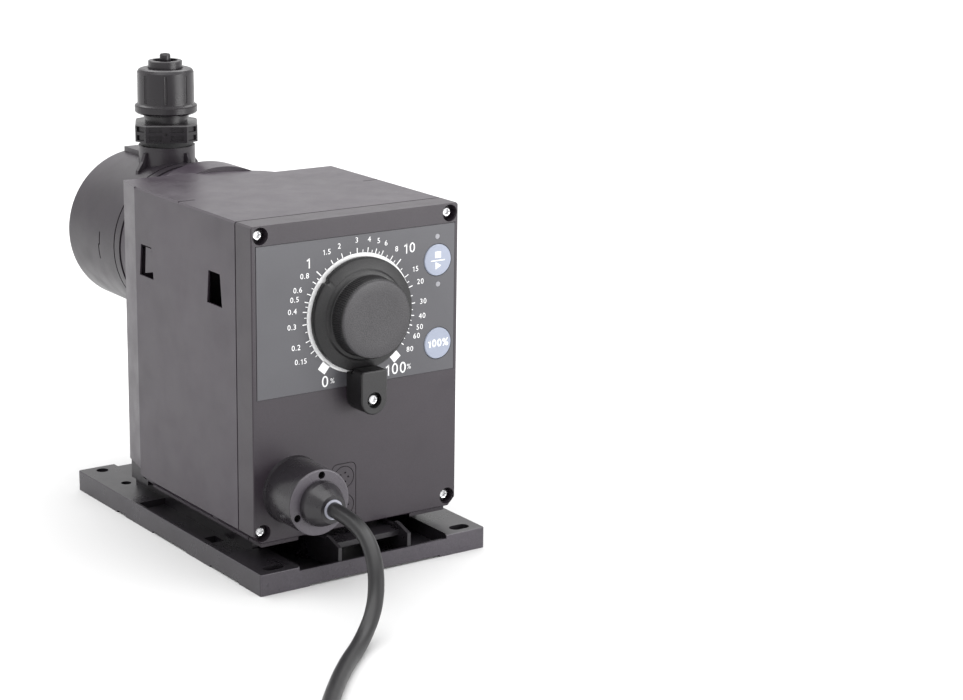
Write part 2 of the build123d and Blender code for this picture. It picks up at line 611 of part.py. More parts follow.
# ---- dosing head and valves ----------------------------------------------------
BOSS_R, BOSS_TOP = 14.0, 166.9
POCKET_R, POCKET_BOTTOM = 10.1, 152.5
CHANNEL_R = 3.2
RECESS_END = 131.0


def valve_boss():
    boss = rod_z(BOSS_R, AXIS_Z + 20, BOSS_TOP, 0, VALVE_Y)
    for k in range(4):
        turn = radians(45 + 90 * k - 30)
        fin = prism_y([(0, 148), (21.0, 148), (20.2, 156), (16.8, 160), (15.2, 164), (0, 165)], -0.9, 0.9)
        boss += Pos(0, VALVE_Y, 0) * Rot(0, 0, degrees(turn)) * fin
    return boss & block(-30, 30, RING_BACK, HEAD_BACK, AXIS_Z, BOSS_TOP)


SLITS = [(103.0, 119.8, 126.4), (104.0, 112.6, 120.4)]   # y, z0, z1 on the head's left side


def dosing_head():
    head = rod_y(HEAD_R, RING_BACK, HEAD_BACK, 0, AXIS_Z)
    for y, z0, z1 in SLITS:
        head -= block(-HEAD_R, -HEAD_R + 2.0, y, y + 0.9, z0, z1)
    head += block(-7, 5, 120, HEAD_BACK - 1, AXIS_Z + 36, AXIS_Z + 40.6)
    boss = valve_boss()
    head += boss
    head += flip_z(boss)
    for mirrored in (False, True):
        pocket = rod_z(POCKET_R, POCKET_BOTTOM, BOSS_TOP, 0, VALVE_Y)
        pocket += rod_z(CHANNEL_R, AXIS_Z, POCKET_BOTTOM, 0, VALVE_Y)
        head -= flip_z(pocket) if mirrored else pocket
    head -= rod_y(CHANNEL_R, RING_BACK, VALVE_Y, 0, AXIS_Z)
    head -= cone_y(25.0, 6.0, RING_BACK, RING_BACK + 5, 0, AXIS_Z)
    head -= rod_y(37.0, RECESS_END, HEAD_BACK, 0, AXIS_Z)
    for x, z in head_screw_places():
        head -= rod_y(HEAD_SCREW_R + 0.1, RING_BACK, RECESS_END, x, z)
        head -= rod_y(3.6, RECESS_END - 4.2, RECESS_END, x, z)
    return head


def head_cover():
    cover = rod_y(36.8, RECESS_END, HEAD_BACK - 0.4, 0, AXIS_Z)
    cover = chamfer(cover.edges().group_by(Axis.Y)[-1], 1.0)
    cover -= rod_y(13.0, HEAD_BACK - 3.0, HEAD_BACK, 0, AXIS_Z)
    cover -= rod_y(4.0, RECESS_END, HEAD_BACK, 0, AXIS_Z)
    return cover - rod_y(3.0, RECESS_END, HEAD_BACK, 0, AXIS_Z - 24)


def head_screws():
    screws = []
    for x, z in head_screw_places():
        screw = rod_y(3.5, RECESS_END - 4, RECESS_END, x, z)
        screw += rod_y(HEAD_SCREW_R, NECK_BACK - 15, RECESS_END - 4, x, z)
        screws.append(screw - rod_y(1.6, RECESS_END - 2.2, RECESS_END, x, z))
    return group(screws)


VENT_R, VENT_FRONT, VENT_BACK = 9.5, HEAD_BACK - 2.7, HEAD_BACK + 12.0


def vent_knob():
    """Knob of the air-release screw, at the middle of the head's end."""
    knob = rod_y(VENT_R, VENT_FRONT, VENT_BACK, 0, AXIS_Z)
    knob = chamfer(knob.edges().group_by(Axis.Y)[-1], 1.0)
    for k in range(10):
        turn = 2 * pi * k / 10
        knob -= rod_y(1.5, VENT_FRONT + 2, VENT_BACK, (VENT_R + 0.6) * cos(turn),
                      AXIS_Z + (VENT_R + 0.6) * sin(turn))
    return knob + rod_y(3.9, RECESS_END + 0.3, VENT_FRONT, 0, AXIS_Z)


def vent_nozzle():
    """Plain nozzle for the air-release hose."""
    end = HEAD_BACK + 14
    z = AXIS_Z - 24
    nozzle = turned_y([(0, RECESS_END), (2.9, RECESS_END), (2.9, HEAD_BACK), (2.2, HEAD_BACK + 1),
                       (2.2, end - 1), (1.7, end), (0, end)], 0, z)
    return nozzle - rod_y(1.0, RECESS_END + 1, end, 0, z)


SEAL_TOP = BOSS_TOP + 3.0
NUT_TOP = SEAL_TOP + 8.6
THREAD_R, THREAD_TOP = 11.2, 196.0
BALL_R, SEAT_R, BORE_R = 4.0, 2.6, 5.2
STEM_BOTTOM = 153.0
BALL_REST = 0.2


COLLAR, COLLAR_CORNER = 30.6, 5.2


def collar():
    """Square collar with cut corners, and shallow pockets in all eight sides."""
    height = NUT_TOP - SEAL_TOP
    shape = Box(COLLAR, COLLAR, height)
    shape = chamfer(shape.edges().filter_by(Axis.Z), COLLAR_CORNER)
    shape = chamfer(shape.faces().sort_by(Axis.Z)[-1].edges(), 0.6)
    across_corners = (COLLAR - COLLAR_CORNER) * sqrt(2)
    for k in range(4):
        for z in (-2.1, 2.1):
            for x in (-5.3, 5.3):
                shape -= Rot(0, 0, 90 * k) * Pos(x, COLLAR / 2, z) * Box(6.2, 1.8, 2.6)
            shape -= Rot(0, 0, 90 * k + 45) * Pos(0, across_corners / 2, z) * Box(5.0, 1.8, 2.6)
        shape -= Rot(0, 0, 90 * k) * Pos(0, COLLAR / 2, 0) * Rot(90, 0, 0) * Cylinder(0.7, 2.0)
    return shape


def valve_body():
    """Valve cartridge above its seat: stem in the head, square collar, thread for the union nut."""
    body = rod_z(POCKET_R - 0.1, STEM_BOTTOM, SEAL_TOP, 0, VALVE_Y)
    body += Pos(0, VALVE_Y, (SEAL_TOP + NUT_TOP) / 2) * Rot(0, 0, -28) * collar()
    body += rod_z(THREAD_R - 0.7, NUT_TOP, THREAD_TOP, 0, VALVE_Y)
    for k in range(6):
        z = NUT_TOP + 2.2 + 2.4 * k
        body += rod_z(THREAD_R, z, z + 1.2, 0, VALVE_Y)
    return body


def discharge_valve_body():
    body = valve_body()
    body -= rod_z(BORE_R, STEM_BOTTOM, 167.0, 0, VALVE_Y)
    return body - rod_z(3.0, 167.0, THREAD_TOP, 0, VALVE_Y)


def suction_valve_body():
    body = flip_z(valve_body())
    top = 2 * AXIS_Z - STEM_BOTTOM
    body -= rod_z(BORE_R, top - 13, top, 0, VALVE_Y)
    return body - rod_z(2.5, 2 * AXIS_Z - THREAD_TOP, top - 13, 0, VALVE_Y)


def seat_height(suction):
    """Height of the seat's bottom face."""
    return 2 * AXIS_Z - STEM_BOTTOM - 13.0 if suction else STEM_BOTTOM


def valve_seat(suction):
    z = seat_height(suction)
    seat = rod_z(BORE_R, z, z + 4.5, 0, VALVE_Y)
    return seat - rod_z(SEAT_R, z, z + 4.5, 0, VALVE_Y)


def valve_ball(suction):
    z = seat_height(suction) + 4.5 + sqrt(BALL_R ** 2 - SEAT_R ** 2) + BALL_REST
    return Pos(0, VALVE_Y, z) * Sphere(BALL_R)


def valve_seal():
    ring = rod_z(12.4, BOSS_TOP, SEAL_TOP, 0, VALVE_Y)
    return ring - rod_z(POCKET_R, BOSS_TOP, SEAL_TOP, 0, VALVE_Y)


def union_nut():
    nut = turned_z([(8.75, 205.2), (11.9, 205.2), (13.2, 204.7), (14.0, 203.4), (14.1, 187.8), (15.3, 187.0),
                    (15.5, 186.4), (15.5, 183.8), (14.7, 183.0), (11.5, 183.0), (11.5, 198.3), (8.75, 198.3)],
                   0, VALVE_Y)
    for k in range(8):
        turn = radians(45 * k + 17)
        x, y = 14.4 * cos(turn), VALVE_Y + 14.4 * sin(turn)
        nut -= rod_z(0.9, 188.8, 202.4, x, y)
    return nut


def hose_clamp():
    return turned_z([(6.2, THREAD_TOP), (11.0, THREAD_TOP), (11.0, 198.0), (8.45, 198.0), (8.45, 208.6),
                     (8.0, 209.0), (6.2, 209.0)], 0, VALVE_Y)


def hose_nipple():
    return turned_z([(1.2, THREAD_TOP), (6.1, THREAD_TOP), (6.1, 197.5), (3.4, 199.5), (2.7, 201.0),
                     (2.7, 211.4), (2.2, 212.2), (1.2, 212.2)], 0, VALVE_Y)


# ---- electronics ----------------------------------------------------------------
BOARD_FRONT = CASE_FRONT + 19.2


def control_board():
    return block(-45, 45, BOARD_FRONT, BOARD_FRONT + 1.6, 30, 152)


def power_unit():
    """Mains module with its big parts, behind the board's lower half."""
    back = BOARD_FRONT + 1.6
    shapes = [block(-42, -12, back, back + 24, 34, 58), rod_y(6, back, back + 20, 0, 42),
              rod_y(6, back, back + 20, 16, 42), block(26, 42, back, back + 16, 34, 54)]
    return group(shapes)


# ---- mains lead -------------------------------------------------------------------
LEAD_ROUTE = [
    (GLAND_X, SEAL_FRONT, GLAND_Z),
    (-33.6, -127.5, 40.6),
    (-36.1, -145.4, 31.0),
    (-41.9, -155.4, 14.0),
    (-56.1, -166.0, LEAD_R),
    (-73.9, -182.1, LEAD_R),
    (-94.0, -204.4, LEAD_R),
    (-114.9, -231.2, LEAD_R),
    (-131.0, -256.0, LEAD_R),
    (-144.1, -280.7, LEAD_R),
]
COIL_X, COIL_Y = -103.04, -302.53
COIL_OUTER, COIL_INNER = 50.0, 24.5    # outside and inside of the bundle of turns
COIL_HEIGHT = 4 * LEAD_R
LEAVE_TURN = 250.0                     # where the lead leaves the coil for its plug
TAIL_TURN, TAIL_LENGTH, TAIL_END_Z = -20.0, 52.0, 6.0


def arc_radii(route):
    """Largest tangent arc at each inner point, as a share of its shorter run."""
    radii = []
    for before, here, after in zip(route, route[1:], route[2:]):
        first = Vector(*here) - Vector(*before)
        second = Vector(*after) - Vector(*here)
        half = radians(first.get_angle(second)) / 2
        radii.append(0.45 * min(first.length, second.length) / tan(half))
    return radii


def tube(route):
    """Round tube along straight runs joined by arcs."""
    radii = arc_radii(route)
    print("lead radii", [round(r, 1) for r in radii])
    path = FilletPolyline(*route, radius=radii)
    start = Vector(*route[0])
    plane = Plane(origin=start, z_dir=Vector(*route[1]) - start)
    shape = sweep(plane * Circle(LEAD_R), path=path)
    print("lead length", round(path.length, 1), "volume ratio",
          round(shape.volume / (pi * LEAD_R ** 2 * path.length), 4))
    return shape


def mains_coil():
    ring = rod_z(COIL_OUTER, 0, COIL_HEIGHT, COIL_X, COIL_Y)
    ring -= rod_z(COIL_INNER, 0, COIL_HEIGHT, COIL_X, COIL_Y)
    return fillet(ring.edges().filter_by(GeomType.CIRCLE), 3.0)


TIE_TURN, TIE_WIDTH, TIE_THICK = 20.0, 4.0, 1.2


def coil_tie():
    """Tie strap over the coil's bundle, open along the floor."""
    across = COIL_OUTER - COIL_INNER
    outer = block(-across / 2 - TIE_THICK, across / 2 + TIE_THICK, -TIE_WIDTH / 2, TIE_WIDTH / 2,
                  0, COIL_HEIGHT + TIE_THICK)
    strap = outer - block(-across / 2, across / 2, -TIE_WIDTH / 2, TIE_WIDTH / 2, 0, COIL_HEIGHT)
    middle = (COIL_OUTER + COIL_INNER) / 2
    turn = radians(TIE_TURN)
    place = Pos(COIL_X + middle * cos(turn), COIL_Y + middle * sin(turn), 0)
    return place * Rot(0, 0, TIE_TURN) * strap


RIM_AT, RIM_R = 36.0, 18.4            # the plug's widest part, which rests on the floor
PLUG_TILT = degrees(atan2(RIM_R, RIM_AT) - asin(TAIL_END_Z / hypot(RIM_AT, RIM_R)))


def tail_ends():
    """First and last point of the straight end of the lead."""
    last_turn_r = COIL_OUTER - LEAD_R
    x = COIL_X + last_turn_r * cos(radians(LEAVE_TURN))
    y = COIL_Y + last_turn_r * sin(radians(LEAVE_TURN))
    turn = radians(TAIL_TURN)
    start = Vector(x, y, COIL_HEIGHT - LEAD_R)
    return start, Vector(x + TAIL_LENGTH * cos(turn), y + TAIL_LENGTH * sin(turn), TAIL_END_Z)


def mains_plug():
    """Body of a round two-pole plug, from its cord end to its face."""
    return turned_y([(0, 0), (5.0, 0), (6.0, 16), (9.5, 17), (12.0, 30), (RIM_R, RIM_AT),
                     (RIM_R, 52), (17.6, 54), (0, 54)], 0, 0)


def plug_pins():
    return group([rod_y(2.4, 54, 73, x, 0) for x in (-9.5, 9.5)])


def mains_tail():
    """Straight end of the lead, from the coil to the plug."""
    start, end = tail_ends()
    plane = Plane(origin=start, z_dir=end - start)
    return extrude(plane * Circle(LEAD_R), (end - start).length)


def lay_plug(shape):
    """Move a piece built along +Y from the plug's cord end to where the plug lies."""
    return Pos(tail_ends()[1]) * Rot(0, 0, TAIL_TURN - 90) * Rot(PLUG_TILT, 0, 0) * shape


# ---- all pieces ---------------------------------------------------------------------
parts["mounting_plate"] = mounting_plate()
parts["front_cover"] = front_cover()
parts["cover_gasket"] = cover_gasket()
parts["control_case"] = control_case()
parts["cover_screws"] = group([torx_screw(x, z, CASE_FRONT + RECESS_DEPTH - 2.4, 2.7, 2.4, 1.45, 20.0)
                               for x, z in COVER_SCREWS])
parts["keypad_foil"] = keypad_foil()
parts["start_stop_key"] = key(*START_KEY)
parts["full_flow_key"] = key(*FULL_KEY)
parts["status_leds"] = status_leds()
parts["socket_panel"] = socket_panel()
parts["socket_caps"] = socket_caps()
parts["adjustment_knob"] = adjustment_knob()
parts["dial_shaft"] = dial_shaft()
parts["dial_sensor"] = dial_sensor()
parts["knob_tab"] = knob_tab()
parts["tab_screw"] = torx_screw(DIAL_X, TAB_SCREW_Z, TAB_FRONT + 0.8, 2.5, 2.2, 1.2, 14.0)
parts["gland_body"] = gland_body()
parts["gland_nut"] = gland_nut()
parts["gland_seal"] = gland_seal()
parts["gland_screws"] = group([torx_screw(x, z, GLAND_FRONT + 4.5, 1.5, 1.4, 1.0, 10.0)
                               for x, z in gland_screw_places()])
parts["control_board"] = control_board()
parts["power_unit"] = power_unit()
parts["drive_frame"] = drive_frame()
parts["stepper_motor"] = stepper_motor()
parts["motor_screws"] = motor_screws()
parts["motor_shaft"] = motor_shaft()
parts["motor_pinion"] = motor_pinion()
parts["drive_gear"] = drive_gear()
parts["eccentric_shaft"] = eccentric_shaft()
parts["eccentric_disc"] = eccentric_disc()
parts["shaft_bushes"] = shaft_bushes()
parts["push_rod"] = push_rod()
parts["rod_bush"] = rod_bush()
parts["drive_housing"] = drive_housing()
parts["rear_foot"] = rear_foot()
parts["diaphragm_ring"] = diaphragm_ring()
parts["diaphragm"] = diaphragm()
parts["diaphragm_core"] = diaphragm_core()
parts["dosing_head"] = dosing_head()
parts["head_cover"] = head_cover()
parts["head_screws"] = head_screws()
parts["vent_knob"] = vent_knob()
parts["vent_nozzle"] = vent_nozzle()
parts["discharge_valve_body"] = discharge_valve_body()
parts["suction_valve_body"] = suction_valve_body()
parts["discharge_valve_ball"] = valve_ball(False)
parts["suction_valve_ball"] = valve_ball(True)
parts["discharge_union_nut"] = union_nut()
parts["suction_union_nut"] = flip_z(union_nut())
parts["valve_seats"] = group([valve_seat(False), valve_seat(True)])
parts["valve_seals"] = above_and_below(valve_seal())
parts["hose_clamps"] = above_and_below(hose_clamp())
parts["hose_nipples"] = above_and_below(hose_nipple())
parts["mains_lead"] = tube(LEAD_ROUTE)
parts["mains_coil"] = mains_coil()
parts["coil_tie"] = coil_tie()
parts["mains_tail"] = mains_tail()
parts["mains_plug"] = lay_plug(mains_plug())
parts["plug_pins"] = lay_plug(plug_pins())

os.makedirs("parts", exist_ok=True)
for name, shape in parts.items():
    export_step(shape, f"parts/{name}.step")
print(len(parts), "parts")
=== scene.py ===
"""Looks of the dosing pump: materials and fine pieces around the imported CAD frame, in metres."""
import json
from math import cos, log10, pi, radians, sin

import bmesh
import bpy
from mathutils import Matrix, Vector


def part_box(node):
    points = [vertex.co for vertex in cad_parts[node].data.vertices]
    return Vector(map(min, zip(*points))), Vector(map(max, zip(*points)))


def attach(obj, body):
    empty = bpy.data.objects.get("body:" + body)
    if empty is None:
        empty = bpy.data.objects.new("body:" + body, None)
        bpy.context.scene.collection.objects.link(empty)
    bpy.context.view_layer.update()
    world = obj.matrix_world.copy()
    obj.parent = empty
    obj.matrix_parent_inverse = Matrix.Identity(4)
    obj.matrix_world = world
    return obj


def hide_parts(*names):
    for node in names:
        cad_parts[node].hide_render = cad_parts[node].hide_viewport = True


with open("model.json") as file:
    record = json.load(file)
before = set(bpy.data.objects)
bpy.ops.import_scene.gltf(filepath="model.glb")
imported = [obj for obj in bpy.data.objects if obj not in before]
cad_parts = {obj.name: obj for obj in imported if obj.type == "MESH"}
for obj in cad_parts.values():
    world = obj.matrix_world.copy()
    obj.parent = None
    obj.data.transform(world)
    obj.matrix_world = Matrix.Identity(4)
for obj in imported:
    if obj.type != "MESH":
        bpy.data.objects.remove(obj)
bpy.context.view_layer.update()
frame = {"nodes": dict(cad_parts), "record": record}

NODES = frame["nodes"]
STILL = "pump_body"
MM = 0.001


# ---- camera -------------------------------------------------------------------
CAMERA_AT = Vector((-0.5395, -0.9235, 0.3651))
AZIMUTH, ELEVATION, ROLL = radians(-35.58), radians(14.73), radians(0.88)
LENS_MM, SENSOR_MM, NEAREST = 86.9, 36.0, 0.05


def add_camera():
    """Camera at the viewing angle of the reference picture."""
    back = Vector((sin(AZIMUTH) * cos(ELEVATION), -cos(AZIMUTH) * cos(ELEVATION), sin(ELEVATION)))
    level = (-back).cross(Vector((0, 0, 1))).normalized()
    upward = level.cross(-back)
    right = level * cos(ROLL) + upward * sin(ROLL)
    up = upward * cos(ROLL) - level * sin(ROLL)
    data = bpy.data.cameras.new("camera")
    data.sensor_width = SENSOR_MM
    data.lens = LENS_MM
    data.clip_start = NEAREST
    camera = bpy.data.objects.new("camera", data)
    bpy.context.scene.collection.objects.link(camera)
    rotation = Matrix((right, up, back)).transposed().to_4x4()
    camera.matrix_world = Matrix.Translation(CAMERA_AT) @ rotation
    bpy.context.scene.camera = camera


add_camera()


# ---- mains lead ---------------------------------------------------------------
LEAD_R = 3.5 * MM
LEAD_ROUTE = [(-0.0336, -0.1080, 0.0406), (-0.0336, -0.1275, 0.0406), (-0.0361, -0.1454, 0.0310),
              (-0.0419, -0.1554, 0.0140), (-0.0561, -0.1660, LEAD_R), (-0.0739, -0.1821, LEAD_R),
              (-0.0940, -0.2044, LEAD_R), (-0.1149, -0.2312, LEAD_R), (-0.1310, -0.2560, LEAD_R)]
COIL = Vector((-0.10304, -0.30253, 0.0))
COIL_OUTER, COIL_PITCH = 46.5 * MM, 2 * LEAD_R
COIL_START, COIL_TURNS = 152.0, 5 + 98 / 360    # degrees, and turns of both layers together
CLIMB_HALF = 0.13                               # turns before and after the middle, for the climb
COIL_POINTS = 18                                # spline points for each turn
TAIL_TURN, TAIL_LENGTH = -20.0, 52 * MM
TAIL_HEIGHTS = ((0.30, 10.2 * MM), (0.65, 8.2 * MM), (1.0, 6 * MM))     # part of the length, height


def smooth(low, high, value):
    """Rises smoothly from 0 at low to 1 at high."""
    t = min(1.0, max(0.0, (value - low) / (high - low)))
    return t * t * (3 - 2 * t)


def coil_radius(turns):
    """Shrinks by one pitch each turn up to the middle, and grows again after it."""
    return COIL_OUTER - COIL_PITCH * min(turns, COIL_TURNS - turns)


def coil_height(turns):
    """Half a cord above the floor in the first layer, and one cord higher in the second."""
    return LEAD_R + COIL_PITCH * smooth(-CLIMB_HALF, CLIMB_HALF, turns - COIL_TURNS / 2)


def coil_points():
    """Turns that wind inward on the floor, climb, and wind outward on top of themselves."""
    points = []
    count = round(COIL_TURNS * COIL_POINTS)
    for k in range(count + 1):
        turns = COIL_TURNS * k / count
        r = coil_radius(turns)
        angle = radians(COIL_START) + 2 * pi * turns
        points.append((COIL.x + r * cos(angle), COIL.y + r * sin(angle), coil_height(turns)))
    return points


def tail_points(start):
    """From the coil's last turn, over its edge and down to the plug."""
    turn = radians(TAIL_TURN)
    points = []
    for along, height in TAIL_HEIGHTS:
        reach = along * TAIL_LENGTH
        points.append((start[0] + reach * cos(turn), start[1] + reach * sin(turn), height))
    return points


def nurbs(name, points, radius):
    """Round cord along one smooth open spline; each point carries the cord's radius."""
    curve = bpy.data.curves.new(name, "CURVE")
    curve.dimensions = "3D"
    curve.bevel_depth = 1.0                     # times the radius of each point
    curve.bevel_resolution = 6
    curve.use_fill_caps = True
    spline = curve.splines.new("NURBS")
    spline.points.add(len(points) - 1)
    for point, place in zip(spline.points, points):
        point.co = (*place, 1.0)
        point.radius = radius
    spline.order_u = 3
    spline.use_endpoint_u = True
    spline.resolution_u = 8
    piece = bpy.data.objects.new(name, curve)
    bpy.context.scene.collection.objects.link(piece)
    return piece


def add_lead():
    """The whole lead: seen stretch, coil and tail."""
    turns = coil_points()
    lead = nurbs("mains_cord", LEAD_ROUTE + turns + tail_points(turns[-1]), LEAD_R)
    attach(lead, STILL)
    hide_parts("mains_lead", "mains_coil", "mains_tail")
    return lead


MAINS_CORD = add_lead()


# ---- materials ----------------------------------------------------------------
def blank(name, colour, roughness, metallic=0.0):
    """Principled material with its node tree, shader and object coordinates."""
    material = bpy.data.materials.new(name)
    material.use_nodes = True
    tree = material.node_tree
    surface = tree.nodes["Principled BSDF"]
    surface.inputs["Base Color"].default_value = (*colour, 1.0)
    surface.inputs["Roughness"].default_value = roughness
    surface.inputs["Metallic"].default_value = metallic
    place = tree.nodes.new("ShaderNodeTexCoord")
    return material, tree, surface, place.outputs["Object"]


NOISE_LOW, NOISE_HIGH = 0.3, 0.7                # where most noise values lie
FACE_REACH = 0.35 * MM                          # how far a face's place may differ from the one given
CLOUD_SIZE, GLOSS_SIZE = 35 * MM, 12 * MM
PEEL_SIZE, PEEL_DEPTH, FOIL_CLOUD_SIZE = 0.9 * MM, 0.006 * MM, 28 * MM


def noise(tree, place, size, detail=3.0, stretch=(1.0, 1.0, 1.0)):
    """Noise whose patches are about size metres wide, stretched along the axes given less than 1."""
    mapping = tree.nodes.new("ShaderNodeMapping")
    mapping.inputs["Scale"].default_value = stretch
    texture = tree.nodes.new("ShaderNodeTexNoise")
    texture.inputs["Scale"].default_value = 1.0 / size
    texture.inputs["Detail"].default_value = detail
    tree.links.new(place, mapping.inputs["Vector"])
    tree.links.new(mapping.outputs["Vector"], texture.inputs["Vector"])
    return texture.outputs["Fac"]


def spread(tree, value, low, high):
    """The noise value mapped to the range from low to high."""
    mapped = tree.nodes.new("ShaderNodeMapRange")
    mapped.inputs["From Min"].default_value = NOISE_LOW
    mapped.inputs["From Max"].default_value = NOISE_HIGH
    mapped.inputs["To Min"].default_value = low
    mapped.inputs["To Max"].default_value = high
    tree.links.new(value, mapped.inputs["Value"])
    return mapped.outputs["Result"]


def tint(tree, surface, colour, *factors):
    """Base colour times each of the factors."""
    last = None
    for factor in factors:
        scale = tree.nodes.new("ShaderNodeVectorMath")
        scale.operation = "SCALE"
        if last is None:
            scale.inputs[0].default_value = colour
        else:
            tree.links.new(last, scale.inputs[0])
        tree.links.new(factor, scale.inputs["Scale"])
        last = scale.outputs["Vector"]
    tree.links.new(last, surface.inputs["Base Color"])


def painted_sheen_gain(tree, place, gain, axis, at):
    """Painted sheen: gain within FACE_REACH of one place along an axis, and 1 elsewhere, which lifts the
    base colour of one flat face as if it caught more light.
    """
    split = tree.nodes.new("ShaderNodeSeparateXYZ")
    near = tree.nodes.new("ShaderNodeMath")
    near.operation = "COMPARE"
    near.inputs[1].default_value = at
    near.inputs[2].default_value = FACE_REACH
    mapped = tree.nodes.new("ShaderNodeMapRange")
    mapped.inputs["To Min"].default_value = 1.0
    mapped.inputs["To Max"].default_value = gain
    tree.links.new(place, split.inputs["Vector"])
    tree.links.new(split.outputs[axis], near.inputs[0])
    tree.links.new(near.outputs["Value"], mapped.inputs["Value"])
    return mapped.outputs["Result"]


def relief(tree, surface, value, depth):
    """Bump that rises by depth metres as the value goes from 0 to 1."""
    bump = tree.nodes.new("ShaderNodeBump")
    bump.inputs["Strength"].default_value = 1.0
    bump.inputs["Distance"].default_value = depth
    tree.links.new(value, bump.inputs["Height"])
    tree.links.new(bump.outputs["Normal"], surface.inputs["Normal"])


def moulded(name, colour, roughness, grain=0.45 * MM, depth=0.03 * MM, speckle=0.06, clouds=0.07,
            sheen=0.0, faces=()):
    """Moulded plastic or rubber: fine grain, faint speckle and slow clouds of colour and gloss.

    faces holds the outer faces painted lighter, a painted sheen or highlight for the light they catch: how
    many times, the axis and the place along it.
    """
    material, tree, surface, place = blank(name, colour, roughness)
    fine = noise(tree, place, grain, 2.0)
    slow = noise(tree, place, CLOUD_SIZE, 3.0)
    factors = [spread(tree, fine, 1 - speckle, 1 + speckle), spread(tree, slow, 1 - clouds, 1 + clouds)]
    # Painted sheen and painted highlight: the listed faces get a lighter base colour.
    factors.extend(painted_sheen_gain(tree, place, *face) for face in faces)
    tint(tree, surface, colour, *factors)
    gloss = noise(tree, place, GLOSS_SIZE, 4.0)
    tree.links.new(spread(tree, gloss, roughness - 0.05, roughness + 0.06), surface.inputs["Roughness"])
    relief(tree, surface, fine, depth)
    surface.inputs["Sheen Weight"].default_value = sheen
    return material


def metal(name, colour, roughness, stretch=(1.0, 1.0, 1.0), streak=0.6 * MM, depth=0.01 * MM):
    """Metal with fine marks, drawn out along the axes given less than 1."""
    material, tree, surface, place = blank(name, colour, roughness, 1.0)
    marks = noise(tree, place, streak, 4.0, stretch)
    tint(tree, surface, colour, spread(tree, marks, 0.88, 1.08))
    tree.links.new(spread(tree, marks, roughness - 0.06, roughness + 0.10), surface.inputs["Roughness"])
    relief(tree, surface, marks, depth)
    return material


def printed(name, colour, roughness):
    """Ink, a foil, a lens or a glaze: nearly smooth, with a faint orange peel."""
    material, tree, surface, place = blank(name, colour, roughness)
    peel = noise(tree, place, PEEL_SIZE, 2.0)
    clouds = noise(tree, place, FOIL_CLOUD_SIZE, 2.0)
    tint(tree, surface, colour, spread(tree, clouds, 0.96, 1.04), spread(tree, peel, 0.98, 1.02))
    tree.links.new(spread(tree, clouds, roughness - 0.04, roughness + 0.05), surface.inputs["Roughness"])
    relief(tree, surface, peel, PEEL_DEPTH)
    return material


# The knob's front face, lifted in base colour as a painted sheen.
KNOB_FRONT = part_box("adjustment_knob")[0].y
# The gland's front face, lifted in base colour as a painted sheen.
GLAND_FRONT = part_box("gland_body")[0].y
PLATE_LOW, PLATE_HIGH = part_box("mounting_plate")
# The plate's outer sides get a painted highlight, a lighter base colour; its top and wells keep the darker
# one, as painted shade.
PLATE_SIDE_HIGHLIGHTS = [(3.4, "Y", PLATE_LOW.y), (2.2, "X", PLATE_LOW.x), (2.2, "X", PLATE_HIGH.x),
               (2.2, "Y", PLATE_HIGH.y)]

